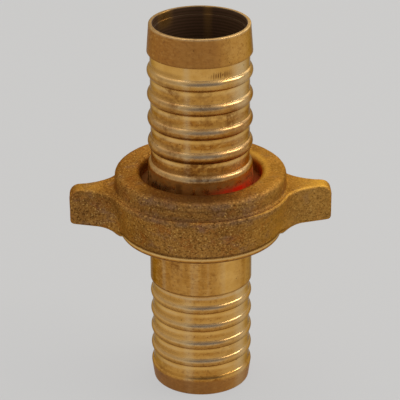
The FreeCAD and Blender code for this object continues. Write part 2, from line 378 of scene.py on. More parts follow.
def turned_brass():
    """Free-cutting brass turned on a lathe and left bright.

    The eye sees soft gold reflections broken by fine rings from the tool, paler metal where it is
    polished and where highlights are painted on it, an orange-brown patina, brown stains and small
    dark pits, painted shade in corners, on shaded sides and in the bores, and a painted red glow.
    """
    material, tree = new_material("turned_brass")
    place = add(tree, "TexCoord").outputs["Object"]
    tarnish_and_painted_light, rubbed_and_painted_highlight, oxide_and_painted_shade, stain_and_painted_shade, dirt_and_painted_shade, inside, red = mesh_marks(
        tree, ["tarnish_and_painted_light", "rubbed_and_painted_highlight", "oxide_and_painted_shade", "stain_and_painted_shade", "dirt_and_painted_shade", "inside", "red"])
    patches = speckle(tree, place, 12, 3.0, 0.6, (1, 1, 0.6))
    streaks = speckle(tree, place, 3.2, 5.0, 0.7, (1, 1, 0.35))
    mottle = speckle(tree, place, 1.5, 4.0, 0.7)
    blots = speckle(tree, place, 2.4, 4.0, 0.7, (1.3, 1.3, 1))
    # Rings left by the tool, drawn 1.6 mm apart because the real feed is too fine to show. One
    # wave of the texture is 2 pi / 20 of its unit.
    rings = add(tree, "TexWave", {
        "Vector": place, "Scale": 2 * math.pi / 20 / (TOOL_RINGS * MM),
        "Distortion": 0.6, "Detail": 1.0, "Detail Scale": 3.0,
    }, {"wave_type": "BANDS", "bands_direction": "Z"}).outputs["Fac"]
    # A pit about half a millimetre wide in one cell of seven, the cells being 3.4 mm across
    cells = add(tree, "TexVoronoi", {"Vector": place, "Scale": 1 / (3.4 * MM)}, {"feature": "F1"})
    tint = add(tree, "SeparateColor", [cells.outputs["Color"]])
    chosen = add(tree, "Math", [tint, 0.86], {"operation": "GREATER_THAN"})
    near = add(tree, "MapRange", [cells.outputs["Distance"], 0.12, 0.05], SMOOTH)
    pit = add(tree, "Math", [near, chosen], TIMES)

    warm = add(tree, "MapRange", [patches, 0.36, 0.64], SMOOTH)
    # The tarnish mark also carries painted light and shade: clean lines by the ribs, and sides made
    # paler or darker
    # Tarnish t becomes t * (0.75 + t * t * streakiness)
    streaky = add(tree, "MapRange", [streaks, 0.34, 0.6, -0.3, 0.65], SMOOTH)
    streaky = add(tree, "Math", [streaky, tarnish_and_painted_light], TIMES)
    tarnished_and_painted_light = add(tree, "Math", [tarnish_and_painted_light, summed(tree, 0.75, [(streaky, tarnish_and_painted_light)])], TIMES)
    freckles = add(tree, "MapRange", [mottle, 0.5, 0.66], SMOOTH)
    freckled = add(tree, "Math", [freckles, add(tree, "Math", [tarnish_and_painted_light, 0.8], TIMES)], TIMES)
    unstreaked = add(tree, "MapRange", [streaks, 0.3, 0.6, 1.0, 0.7], SMOOTH)
    rubbed_and_painted_highlight = add(tree, "Math", [rubbed_and_painted_highlight, unstreaked], TIMES)
    blotted = add(tree, "Math", [stain_and_painted_shade, add(tree, "MapRange", [blots, 0.35, 0.62], SMOOTH)], TIMES)
    pitted = add(tree, "Math", [pit, 0.75], TIMES)
    # Painted shade for the bores: a dark brown with the tool's rings in it
    bore_painted_shade = layered(tree, "#483628", [(rings, "#64493A")])
    # Painted light and shade ride on the tarnish, rubbed, dirt, stain and oxide marks, the bores are
    # painted with shade and the red is a painted glow
    colour = layered(tree, "#EDB966", [
        (warm, "#E0AA56"), (tarnished_and_painted_light, "#B87A2E"), (freckled, "#8A5424"), (rubbed_and_painted_highlight, "#E6C896"),
        (oxide_and_painted_shade, "#B47A3C"), (blotted, "#8A5622"), (pitted, "#3A2410"), (dirt_and_painted_shade, "#7E4C18"),
        (inside, bore_painted_shade), (red, "#F83418"),
    ])

    grit = speckle(tree, place, 0.9, 3.0, 0.6)
    wobble = speckle(tree, place, 5.0, 1.0, 0.5, (1, 1, 0.6))
    relief = add(tree, "Math", [grit, 0.05], TIMES)
    relief = summed(tree, relief, [(rings, 0.05), (wobble, 1.0), (pit, -0.8)])
    bump = add(tree, "Bump", {"Strength": 0.35, "Distance": 0.06 * MM, "Height": relief})
    polish = add(tree, "MapRange", [mottle, 0.3, 0.7, 0.13, 0.22], SMOOTH)
    skinned = add(tree, "Math", [inside, oxide_and_painted_shade], LARGER)
    rough = summed(tree, polish, [(tarnish_and_painted_light, 0.1), (skinned, 0.25), (dirt_and_painted_shade, 0.5), (rubbed_and_painted_highlight, 0.06)])
    # Oxide, dirt, painted shade and the painted red glow hide the metal under them
    covered = red
    for mark, share in ((dirt_and_painted_shade, 0.9), (oxide_and_painted_shade, 0.7), (inside, 0.85)):
        covered = add(tree, "Math", [covered, add(tree, "Math", [mark, share], TIMES)], LARGER)
    bare = add(tree, "Math", [1.0, covered], {"operation": "SUBTRACT"})
    shader = add(tree, "BsdfPrincipled", {
        "Base Color": colour, "Metallic": bare, "Roughness": rough,
        "Specular Tint": "#BCB4A4", "Normal": bump,
    })
    add(tree, "OutputMaterial", [shader])
    return material


def cast_brass():
    """Sand-cast brass, tumbled clean but not machined.

    The eye sees a matt brown-gold skin with the grain of the sand, darker in the hollows, and
    brighter at edges and on the lit right side, partly polished and partly painted highlight.
    Painted grey reflections lie on the front shoulders, painted shade in the corners and a painted
    red glow in the hole.
    """
    material, tree = new_material("cast_brass")
    place = add(tree, "TexCoord").outputs["Object"]
    dull, wear_and_painted_highlight, dirt_and_painted_shade, red = mesh_marks(tree, ["dull", "wear_and_painted_highlight", "dirt_and_painted_shade", "red"])
    clouds = speckle(tree, place, 16, 3.0, 0.6)
    ruddy = speckle(tree, place, 7, 3.0, 0.6, (1, 1, 1), (0.2, 0.4, 0.1))
    greyed = speckle(tree, place, 10, 3.0, 0.65, (1, 1, 0.7), (0.7, 0.1, 0.3))
    sand = speckle(tree, place, 1.1, 4.0, 0.75)
    glints = speckle(tree, place, 0.8, 2.0, 0.6, (1, 1, 1), (0.6, 0.2, 0.5))
    brown = add(tree, "MapRange", [clouds, 0.35, 0.65], SMOOTH)
    reddened = add(tree, "MapRange", [ruddy, 0.5, 0.72, 0.0, 0.6], SMOOTH)
    ashen = add(tree, "MapRange", [greyed, 0.5, 0.7, 0.0, 0.55], SMOOTH)
    # Painted grey reflection of the dim side, on the front shoulders
    painted_grey_reflection = add(tree, "Math", [dull, 0.85], TIMES)
    hollows = add(tree, "MapRange", [sand, 0.45, 0.68], SMOOTH)
    glinting = add(tree, "MapRange", [glints, 0.56, 0.72, 0.0, 0.9], SMOOTH)
    # Edge wear and painted highlights on the lit right side, in uneven patches
    unevenly = add(tree, "MapRange", [ruddy, 0.25, 0.6, 0.4, 1.0], SMOOTH)
    worn_and_painted_light = add(tree, "Math", [wear_and_painted_highlight, unevenly], TIMES)
    colour = layered(tree, "#BC8844", [
        (brown, "#A07036"), (reddened, "#AC682F"), (ashen, "#8C6C5A"), (painted_grey_reflection, "#A4825F"),
        (hollows, "#6C4620"), (glinting, "#E8BC6C"), (worn_and_painted_light, "#E2B050"), (dirt_and_painted_shade, "#6E4A28"),
        (red, "#B8300E"),
    ])
    grain = summed(tree, sand, [(glints, 0.5)])
    bump = add(tree, "Bump", {"Strength": 0.9, "Distance": 0.34 * MM, "Height": grain})
    rough = add(tree, "MapRange", [sand, 0.3, 0.7, 0.46, 0.66], SMOOTH)
    rough = summed(tree, rough, [(worn_and_painted_light, -0.06), (dull, 0.16)])
    shader = add(tree, "BsdfPrincipled", {
        "Base Color": colour, "Metallic": 1.0, "Roughness": rough,
        "Specular Tint": "#D0AC7C", "Normal": bump,
    })
    add(tree, "OutputMaterial", [shader])
    return material


def red_fibre():
    """Vulcanised fibre sheet, punched into a washer.

    The eye sees a dull brick red with a faint paper grain.
    """
    material, tree = new_material("red_fibre")
    place = add(tree, "TexCoord").outputs["Object"]
    grain = speckle(tree, place, 0.8, 3.0, 0.6, (1, 3, 1))
    dark = add(tree, "MapRange", [grain, 0.35, 0.65], SMOOTH)
    colour = layered(tree, "#8A241A", [(dark, "#6E1812")])
    bump = add(tree, "Bump", {"Strength": 0.4, "Distance": 0.05 * MM, "Height": grain})
    shader = add(tree, "BsdfPrincipled", {
        "Base Color": colour, "Roughness": 0.6, "IOR": 1.5, "Normal": bump,
    })
    add(tree, "OutputMaterial", [shader])
    return material


BRIGHT = turned_brass()
CAST = cast_brass()
FIBRE = red_fibre()


# Threaded tail

THREAD_MEAN = THREAD_MAJOR - THREAD_DEPTH / 2 - THREAD_GAP / 2


def lower_path():
    """The section of the threaded tail, up the outside and down the bore."""
    shape = LOWER_FLOOR, LOWER_CREST, LOWER_WIDTH, LOWER_ROOT
    rows = [rib(CONE_TOP + turn * LOWER_PITCH, *shape) for turn in range(LOWER_RIBS + 1)]
    # The cone starts as the upper half of a rib
    rows[0] = rows[0][7:]
    corners = [
        (BORE + 0.5, 0.0, 0.0, 0.6),
        (23.9, 0.0, 0.45, 0.7),
        *(corner for row in rows for corner in row),
        (LOWER_FLOOR, SHANK_FOOT, 0.25, 0.3),
        (SHANK, SHANK_FOOT, 0.35, 0.7),
        (SHANK, THREAD_FOOT - 3.5, 0.6, 0.8),
        (COLLAR, THREAD_FOOT, 0.4, 0.8),
        (COLLAR, THREAD_FOOT + 2.2, 0.4, 0.4),
        (THREAD_MEAN, THREAD_FOOT + 3.2, 0.0, 0.19),
        (THREAD_MEAN, SEAL_FOOT - 1.4, 0.0, 0.19),
        (THREAD_MEAN - 1.4, SEAL_FOOT, 0.15, 1.2),
        (BORE + 0.3, SEAL_FOOT, 0.0, 0.4),
        (BORE, SEAL_FOOT - 0.3, 0.0, 3.0),
        (BORE, 0.5, 0.0, 0.5),
    ]
    return rounded_path(corners)


def cut_thread(grid, path):
    """Cuts the spigot's thread into the grid. Its crests run out towards both ends."""
    angle = np.arctan2(grid[..., 1], grid[..., 0])
    on_thread = np.abs(path[:, 0] - THREAD_MEAN) < 1e-6
    lift = thread_wave(angle, grid[..., 2]) * on_thread[:, None]
    ends = below(path[:, 1], SEAL_FOOT - 0.5, 1.4) * (1 - below(path[:, 1], THREAD_FOOT + 4.2, 1.2))
    lift = np.where(lift > 0, lift * ends[:, None], lift)
    grid[..., :2] *= (1 + lift / path[:, 0][:, None])[..., None]


def threaded_tail():
    """The lower tail, with a real thread on its spigot."""
    path = lower_path()
    grid = turned_grid(path)
    cut_thread(grid, path)
    turn = angle_from_front(grid)
    height = grid[..., 2]
    outside = (path[:, 0] > BORE + 0.6)[:, None]
    on_shank = height > SHANK_FOOT - 0.5
    rubbed_and_painted_highlight, tarnish_and_painted_light, dirt_and_painted_shade = rib_wear_and_painted_light(
        turn, height, CONE_TOP + LOWER_PITCH, LOWER_PITCH, LOWER_RIBS, LOWER_WIDTH)

    # The cone has an orange-brown patina. Painted shade darkens the shank at the left and the front,
    # and painted light makes the shank paler at the right and the ribs paler at both sides
    tarnish_and_painted_light = np.where(on_shank, 0.5, 0.7 * tarnish_and_painted_light) + 0.5 * below(height, CONE_TOP + 1.1, 3)
    tarnish_and_painted_light += between(turn, {-180: 0, -110: 0.3, -60: 0.3, 0: 0}) * on_shank
    tarnish_and_painted_light += (0.2 * bell(turn, 0, 30) - 0.5 * bell(turn, 33, 22)) * on_shank
    tarnish_and_painted_light -= between(turn, {-60: 0.3, -30: 0.3, -10: 0, 15: 0, 35: 0.45, 90: 0.3}) * ~on_shank

    # Stains streak the shank and lie along the cone, and painted shade darkens the shank and the cone
    # at the left
    streaks = upright_streaks(turn, height, 6.0, 13) * (height > SHANK_FOOT + 0.5)
    stain_and_painted_shade = stained(turn, height, LOWER_STAINS) + 0.5 * np.clip(streaks, 0, 1)
    stain_and_painted_shade += between(turn, {-120: 0, -60: 0.3, -40: 0.3, -15: 0}) * on_shank
    stain_and_painted_shade += between(turn, {-180: 0, -90: 0.3, -10: 0.3, 30: 0}) * below(height, CONE_TOP + 0.2, 1.5)

    # Painted shadow darkens the shank's lower edge and a painted highlight lies on the metal under it,
    # pale streaks run up the shank, and painted reflections light the ribs in a stripe at each side
    dirt_and_painted_shade += 0.7 * bell(height, SHANK_FOOT + 0.2, 0.7)
    rubbed_and_painted_highlight += 0.6 * bell(height, SHANK_FOOT - 1.5, 1.2) + 0.5 * np.clip(-streaks, 0, 1)
    rubbed_and_painted_highlight += 0.7 * bell(turn, 52, 16) * ~on_shank
    rubbed_and_painted_highlight += 0.4 * bell(turn, -17, 9) * (height < SHANK_FOOT - 1.5)

    worn_and_painted_light = {"rubbed_and_painted_highlight": rubbed_and_painted_highlight, "tarnish_and_painted_light": tarnish_and_painted_light, "dirt_and_painted_shade": dirt_and_painted_shade, "stain_and_painted_shade": stain_and_painted_shade}
    marks = {mark: np.clip(values, 0, 1) * outside for mark, values in worn_and_painted_light.items()}
    on_cone = np.clip((CONE_TOP - 0.2 - height) / 0.8, 0, 0.75)
    marks["oxide_and_painted_shade"] = on_cone * between(turn, {0: 1, 50: 0.5, 110: 1}) * outside
    # Painted shade makes the bore brown
    marks["inside"] = 0.8 * (1 - outside) * bell(height, SEAL_FOOT / 2, SEAL_FOOT)
    return ring_mesh("threaded_tail_turned", grid, "threaded_tail", "threaded_tail",
                     [BRIGHT], marks=marks)


# Collar tail

def upper_path():
    """The section of the collar tail, up the outside and down the bore."""
    shape = UPPER_FLOOR, UPPER_CREST, UPPER_WIDTH, UPPER_ROOT
    rows = [rib(FIRST_RIB + turn * UPPER_PITCH, *shape) for turn in range(UPPER_RIBS)]
    # The neck runs into the lowest rib at its crest
    rows[0] = rows[0][7:]
    corners = [
        (BORE + 0.3, SEAL_TOP, 0.0, 1.2),
        (COLLAR - 0.6, SEAL_TOP, 0.1, 0.5),
        (COLLAR, SEAL_TOP + 0.6, 0.1, 0.8),
        (COLLAR, COLLAR_TOP, 0.35, 0.8),
        (NECK, COLLAR_TOP, 0.8, 0.6),
        *(corner for row in rows for corner in row),
        (UPPER_FLOOR, BAND_FOOT, 0.35, 0.3),
        (25.35, BAND_FOOT, 0.55, 0.7),
        (24.3, TAIL_TOP, 0.45, 0.3),
        (MOUTH + 0.2, TAIL_TOP, 0.15, 0.3),
        (MOUTH, TAIL_TOP - 0.3, 0.0, 0.8),
        (MOUTH, TAIL_TOP - MOUTH_DEPTH, 0.1, 0.3),
        (BORE, TAIL_TOP - MOUTH_DEPTH, 0.1, 1.2),
        (BORE, SEAL_TOP + 0.3, 0.0, 0.4),
    ]
    return rounded_path(corners)


def neck_marks(turn, height, grid, streaks):
    """The neck's oxidised skin, dirty streaks and mottle, the collar's painted shade and a painted red
    glow, from the depth under the lowest rib.

    The neck is oxidised, thinly where it is mottled, and the collar's top in the gap is dirty and
    painted dark for its shade. The red is a painted glow of light bouncing in the gap on the lit
    right side.
    """
    depth = FIRST_RIB - height
    mottle = lattice_noise(grid * [1, 1, 0.6], 2.0, 14)
    thin = 2.4 * mottle + bell(turn, 58, 30) + 0.6 * bell(turn, -40, 22) + 0.7 * bell(turn, 3, 13)
    thin = np.clip(thin, 0, 1) * (height > COLLAR_TOP + 1.6)
    oxide_and_painted_shade = np.clip(depth - 0.4, 0, 0.8 - 0.62 * thin)
    dirt_and_painted_shade = 0.95 * below(height, COLLAR_TOP + 1.1, 1)
    dirt_and_painted_shade += 0.6 * np.clip(streaks, 0, 1) * bell(turn, -25, 50) * (depth > 1.4)
    dirt_and_painted_shade += np.clip(-mottle, 0, 1) * (depth > 2.4) * (0.35 + 0.3 * bell(turn, 50, 50))
    red = bell(turn, 39, 46) * np.clip((depth - 2.8) / 2.2, 0, 1) * np.clip(0.9 + 0.6 * mottle, 0, 1)
    red += 0.3 * bell(turn, 75, 45) * (depth > 0.4)
    return oxide_and_painted_shade, dirt_and_painted_shade, red


def chatter(turn, height):
    """A short row of strokes under the end band, 2.7 degrees apart, where the tool has chattered."""
    middle, half_width, level, slope = 23, 20, 169.5, 0.03
    spacing = 2.727
    uneven = lattice_noise(np.stack([turn, 0 * turn, 0 * turn], axis=-1), 3.5, 11)
    row = bell(turn, middle, half_width) * bell(height, level + slope * turn, 1.7 + uneven)
    return 1.2 * row * (turn / spacing % 1 < 0.5)


def collar_tail():
    """The upper tail, with its collar, ribs and end band."""
    path = upper_path()
    grid = turned_grid(path)
    turn = angle_from_front(grid)
    height = grid[..., 2]
    outside = np.repeat((path[:, 0] > MOUTH + 0.3)[:, None], grid.shape[1], axis=1)
    band = height > BAND_FOOT
    ribbed = (height > FIRST_RIB - 0.4) & ~band
    streaks = upright_streaks(turn, height, 4.0, 12)
    rubbed_and_painted_highlight, tarnish_and_painted_light, dirt_and_painted_shade = rib_wear_and_painted_light(turn, height, FIRST_RIB, UPPER_PITCH, UPPER_RIBS, UPPER_WIDTH)

    # Smears of brown on the ribs and between them, more of them lower down
    smears = np.clip(1.8 * lattice_noise(grid * [1, 1, 1.7] + 40, 7.0, 15), 0, 1)
    smears *= between(turn, {-90: 0, -70: 1, 35: 1, 50: 0})
    stain_and_painted_shade = stained(turn, height, UPPER_STAINS)
    stain_and_painted_shade += smears * between(height, {116: 0, 118: 0.8, 150: 0.5, 163: 0.5, 168: 0})
    stain_and_painted_shade += 0.9 * bell(turn, -15, 50) * (height < FIRST_RIB - 0.9) * np.clip(streaks, 0, 1)
    stain_and_painted_shade += 0.35 * np.clip(streaks, 0, 1) * band

    # Tarnish fades up the ribs. Painted shade darkens the end band at the left and the front, and
    # painted light makes the ribs paler at the left and in a patch at the right
    fading = between(height, {110: 0.95, 145: 0.9, 155: 0.7, 170: 0.2})
    tarnish_and_painted_light = np.where(band, 0.55, tarnish_and_painted_light * fading)
    tarnish_and_painted_light += (between(turn, {-180: 0, -90: 0.5, -45: 0.5, -20: 0}) + 0.2 * bell(turn, -5, 40)) * band
    tarnish_and_painted_light -= 0.4 * bell(turn, 20, 30) * bell(height, 148, 6)
    tarnish_and_painted_light *= between(height, {FIRST_RIB - 1.9: 0.4, FIRST_RIB + 0.6: 1})
    tarnish_and_painted_light -= between(turn, {-90: 0, -55: 0.15, -30: 0.15, -10: 0}) * ~band

    # Painted reflections make the right paler, most of all near the top, a painted stripe lies at the
    # left, and a painted highlight runs round the band's upper edge
    right_painted_reflection = between(height, {116: 0, 117: 0.3, 148: 0.3, 154: 0.95})
    rubbed_and_painted_highlight += bell(turn, 52, 22) * right_painted_reflection * ~band + 0.4 * bell(turn, -17, 6) * ribbed
    rubbed_and_painted_highlight += 0.8 * bell(height, TAIL_TOP, 1.0)

    oxide_and_painted_shade, neck_dirt_and_painted_shade, red = neck_marks(turn, height, grid, streaks)
    # Painted shade: a share of oxide darkens the front of the end band
    skin = between(turn, {-180: 0.4, -60: 0.5, -25: 1, 15: 1, 32: 0, 90: 0, 180: 0.4})
    # Painted shade lies on the collar's top in the gap and in a line under the end band; the neck's
    # streaks and mottle are dirt, and the chatter strokes are tool marks
    dirt_and_painted_shade += neck_dirt_and_painted_shade + chatter(turn, height) + 0.3 * bell(height, BAND_FOOT + 0.2, 0.8)

    # Painted shade makes the bore brown; less of it lies where painted light falls in one streak and
    # under the rim at the back
    behind = turn % 360
    bore = 0.3 * bell(behind, 168, 8) * (1 - below(height, TAIL_TOP - 4, 20))
    bore += 0.6 * bell(behind, 228, 18) * (1 - below(height, TAIL_TOP - 5, 4))

    worn_and_painted_light = {"rubbed_and_painted_highlight": rubbed_and_painted_highlight, "tarnish_and_painted_light": tarnish_and_painted_light, "dirt_and_painted_shade": dirt_and_painted_shade, "stain_and_painted_shade": stain_and_painted_shade}
    marks = {mark: np.clip(values, 0, 1) * outside for mark, values in worn_and_painted_light.items()}
    marks["red"] = red * outside
    marks["oxide_and_painted_shade"] = oxide_and_painted_shade * outside + 0.6 * skin * band * (height < TAIL_TOP - 0.6)
    marks["inside"] = np.where(outside, 0, 0.95 - bore)
    return ring_mesh("collar_tail_turned", grid, "collar_tail", "collar_tail",
                     [BRIGHT], marks=marks)


# Seal

def sealing_washer():
    """The flat seal: a thin ring whose edges bulge a little where it is squeezed."""
    inner, outer, bulge, spacing = 22.8, 30.4, 0.5, 0.6
    corners = [(across, up, bulge, spacing) for across, up in (
        (inner, SEAL_FOOT), (outer, SEAL_FOOT), (outer, SEAL_TOP), (inner, SEAL_TOP))]
    grid = turned_grid(rounded_path(corners))
    return ring_mesh("sealing_washer_fibre", grid, "seal", "sealing_washer", [FIBRE])


# Wing nut. A field is below 0 inside the metal and is about the distance to its surface.

LEDGE = NUT_TOP - 8.6
BAND_TOP = NUT_FOOT + 2.9
WEB_FOOT = NUT_FOOT + 0.4
BAND_RADIUS = 39.5
RING_TOP_RADIUS = 45.1
RING_FOOT_RADIUS = 39.9
RING_SLOPE = (RING_TOP_RADIUS - RING_FOOT_RADIUS) / (LEDGE - BAND_TOP)
BOSS_RADIUS = 41.9
BOSS_FOOT = 1.2
BOSS_SHOULDER = 2.7
WING_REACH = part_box("wing_nut")[1].x / MM
WING_HALF = 4.9
WING_FOOT = LEDGE - 18.6
WING_DROP = 2.6
WING_SLOPE = WING_DROP / (WING_REACH - RING_TOP_RADIUS)
WING_TIP = 5.0
ROOT = 16.0
EDGE = 2.0
HOLE = 29.4
HOLE_RIM = 3.0
RECESS = 33.305
RECESS_FOOT = COLLAR_TOP - 9.4
HALVINGS = 26

# The rounding between a wing's side and its underside, by height
SIDE_ROUNDING = {WING_FOOT - 0.2: 2.2, WING_FOOT + 5.8: 1.4, LEDGE - 5.8: 1.4, LEDGE - 1.8: 0.3}

# A quarter of the nut turned into the whole: for each quarter, what is added and the sign
QUARTERS = {
    "x": ((0, 1), (0, -1), (0, -1), (0, 1)),
    "y": ((0, 1), (0, 1), (0, -1), (0, -1)),
    "even": ((0, 1), (0, 1), (0, 1), (0, 1)),
    "angle": ((0, 1), (np.pi, -1), (np.pi, 1), (2 * np.pi, -1)),
}


def both(a, b, radius):
    """Where two fields are both inside, with the edge between them rounded."""
    outer = np.hypot(np.maximum(radius + a, 0), np.maximum(radius + b, 0))
    return np.minimum(-radius, np.maximum(a, b)) + outer


def either(a, b, radius, cosine=0.0):
    """Where one of two fields is inside, with the hollow between them filled by a rolling ball.

    cosine is that of the angle between the fields' gradients. With u = R - a and v = R - b, the
    ball's middle is sqrt(u ^ 2 + v ^ 2 - 2 u v cos) / sin away.
    """
    u = radius - a
    v = radius - b
    away = np.sqrt(np.maximum(u * u + v * v - 2 * u * v * cosine, 0) / (1 - cosine ** 2))
    in_hollow = (u - cosine * v > 0) & (v - cosine * u > 0)
    return np.where(in_hollow, radius - away, np.minimum(a, b))


def ring_wall(p):
    """The tapered wall of the ring: r - (foot radius + slope * height)."""
    across = np.hypot(p[..., 0], p[..., 1])
    return (across - RING_FOOT_RADIUS - RING_SLOPE * (p[..., 2] - BAND_TOP)) / math.hypot(1, RING_SLOPE)


def wing_slab(p):
    """Both wings, without their ends and tops: |y| against half the thickness, and a sloping foot."""
    side = np.abs(p[..., 1]) - WING_HALF
    foot = WING_FOOT + WING_SLOPE * (np.abs(p[..., 0]) - WING_REACH)
    under = (foot - p[..., 2]) / math.hypot(1, WING_SLOPE)
    return both(side, under, between(p[..., 2], SIDE_ROUNDING))


def slope_cosine(p):
    """Cosine of the angle between the gradients of the ring's wall and the wings."""
    step = 0.05
    product, first_length, second_length = 0, 0, 0
    for axis in range(3):
        offset = np.zeros(3)
        offset[axis] = step
        first = ring_wall(p + offset) - ring_wall(p - offset)
        second = wing_slab(p + offset) - wing_slab(p - offset)
        product = product + first * second
        first_length = first_length + first ** 2
        second_length = second_length + second ** 2
    return np.clip(product / np.sqrt(first_length * second_length + 1e-12), -0.9, 0.9)


def casting(p):
    """The cast nut: ring and wings blended together, cut by the ledge and the ends, and the boss."""
    body = either(ring_wall(p), wing_slab(p), ROOT, slope_cosine(p))
    cap = both(np.abs(p[..., 0]) - WING_REACH, p[..., 2] - LEDGE, WING_TIP)
    boss = np.maximum(np.hypot(p[..., 0], p[..., 1]) - BOSS_RADIUS, LEDGE - 4 - p[..., 2])
    return either(both(body, cap, EDGE), boss, BOSS_FOOT)


def crossing(inside, outside):
    """The surface point between one inside the metal and one outside it, found by halving."""
    for _ in range(HALVINGS):
        middle = (inside + outside) / 2
        solid = (casting(middle) < 0)[..., None]
        inside = np.where(solid, middle, inside)
        outside = np.where(solid, outside, middle)
    return (inside + outside) / 2


def quarter_rays():
    """Rays in plan for one quarter of the nut, from the tip of a wing round to the middle of the
    ring: their start, their direction, and the angle of the same column on the round faces.

    Along the tip and the side they are parallel, round the corner they fan out, along the root
    they point at the middle of its blend, and along the ring they are radial. Each ray also has
    the heights where the wall starts and ends, and how far inward the metal is sure to be solid.
    """
    fan = 3.6
    fan_x, fan_y = WING_REACH - fan, WING_HALF - fan
    blend_y = WING_HALF + ROOT
    blend_x = math.sqrt((RING_TOP_RADIUS + ROOT) ** 2 - blend_y ** 2)
    join = math.atan2(blend_y, blend_x)
    tip = np.linspace(0, fan_y, 3)[:-1]
    turn = np.linspace(0, np.pi / 2, 13)[:-1]
    side = np.linspace(fan_x, blend_x, 6)[:-1]
    swing = np.linspace(1.5 * np.pi, np.pi + join, 31)[:-1]
    round_ring = np.linspace(join, np.pi / 2, 55)[:-1]
    radial = np.stack([np.cos(round_ring), np.sin(round_ring)], 1)
    to_blend = np.stack([np.cos(swing), np.sin(swing)], 1)
    fanned = np.stack([np.cos(turn), np.sin(turn)], 1)
    on_edge = np.concatenate([
        np.stack([0 * tip + WING_REACH, tip], 1),
        np.array([fan_x, fan_y]) + fan * fanned,
        np.stack([side, 0 * side + WING_HALF], 1),
        np.array([blend_x, blend_y]) + ROOT * to_blend,
        RING_TOP_RADIUS * radial,
    ])
    way = np.concatenate([
        np.stack([0 * tip + 1, 0 * tip], 1),
        fanned,
        np.stack([0 * side, 0 * side + 1], 1),
        -to_blend,
        radial,
    ])
    run = np.concatenate([[0], np.cumsum(np.linalg.norm(np.diff(on_edge, axis=0), axis=1))])
    wing_columns = len(on_edge) - len(round_ring)
    angle = run / run[wing_columns] * join
    angle[wing_columns:] = round_ring
    counts = np.cumsum([len(tip), len(turn), len(side), len(swing), len(round_ring)])
    # The tip, the fan, the side, the start, middle and end of the root, and the end of the ring
    places = [0, counts[0], counts[1], counts[2], counts[2] + 12, counts[3], counts[4]]
    column = np.arange(len(run))
    low = WING_FOOT + np.interp(column, places, [0.35, 0.3, 0.2, -0.2, 0, 1.4, 1.4])
    # The lines at 45 degrees round the tip's rounding and round the ledge's edge
    half_arc = 1 - math.sqrt(0.5)
    tip_high, edge_high = LEDGE - WING_TIP * half_arc, LEDGE - EDGE * half_arc
    high = np.interp(column, places, [tip_high, tip_high, tip_high + 0.5] + [edge_high] * 4)
    inward = np.interp(column, places, [5.0, 5.0, 5.0, 5.0, 6.0, 8.0, 8.0])
    return on_edge, way, angle, low, high, inward


def all_round(values, middle, kind):
    """One quarter's values, and the one at the middle of the ring after them, carried all round."""
    half = np.append(values, middle)
    parts = (half[:-1], half[:0:-1], half[:-1], half[:0:-1])
    return np.concatenate([start + sign * part for (start, sign), part in zip(QUARTERS[kind], parts)])


def level(flat, height):
    """Points from plan places and one height or one for each column."""
    heights = np.broadcast_to(np.asarray(height, float)[..., None], flat.shape[:-1] + (1,))
    return np.concatenate([flat, heights], axis=-1)


def cut_height(across):
    """Height of the turned cut under the webs: level at its outside, and rising to the band's top."""
    rise = (BAND_TOP - WEB_FOOT) / 1.3
    return np.maximum(WEB_FOOT, BAND_TOP - rise * (across - BAND_RADIUS))


def nut_casting(plan, ways, spokes, low, high, inward):
    """The cast faces: the turned cut at the foot, the underside, the wall, and the wings' tops with
    the ledge.

    Each point is searched for between one that is sure to be in the metal and one that is sure to
    be clear of it.
    """
    # Wall, from the low line up to the high line
    steps = 34
    heights = low + (high - low) * np.linspace(0, 1, steps)[:, None]
    inner = np.broadcast_to(plan - ways * inward[:, None], (steps, len(plan), 2))
    outer = np.broadcast_to(plan + ways * 1.6, (steps, len(plan), 2))
    wall = crossing(level(inner, heights), level(outer, heights))

    # Top of the wings and ledge, from the high line in to the foot of the boss
    easing = (1 - np.cos(np.linspace(0, np.pi, 20))) / 2
    boss_foot = spokes * (BOSS_RADIUS + BOSS_FOOT * (1 - math.sqrt(0.5)))
    flat = wall[-1, :, :2] + (boss_foot - wall[-1, :, :2]) * easing[1:, None, None]
    ledge = crossing(level(flat, LEDGE - 7.0), level(flat, LEDGE + 4.0))

    # Underside, from the line where the foot cut ends out to the low line
    near, far = np.full(len(plan), BAND_RADIUS), np.full(len(plan), 54.0)
    for _ in range(HALVINGS):
        across = (near + far) / 2
        solid = casting(level(spokes * across[:, None], cut_height(across))) < 0
        near = np.where(solid, across, near)
        far = np.where(solid, far, across)
    shares = np.linspace(0, 1, 5)[1:, None]
    cut_across = BAND_RADIUS + (near - BAND_RADIUS) * shares
    cut = level(spokes * cut_across[..., None], cut_height(cut_across))
    easing = np.linspace(0, 1, 18)[1:-1, None, None]
    flat = cut[-1, :, :2] + (wall[0, :, :2] - cut[-1, :, :2]) * easing
    under = crossing(level(flat, LEDGE - 10.0), level(flat, NUT_FOOT - 4.0))
    return cut, under, wall, ledge


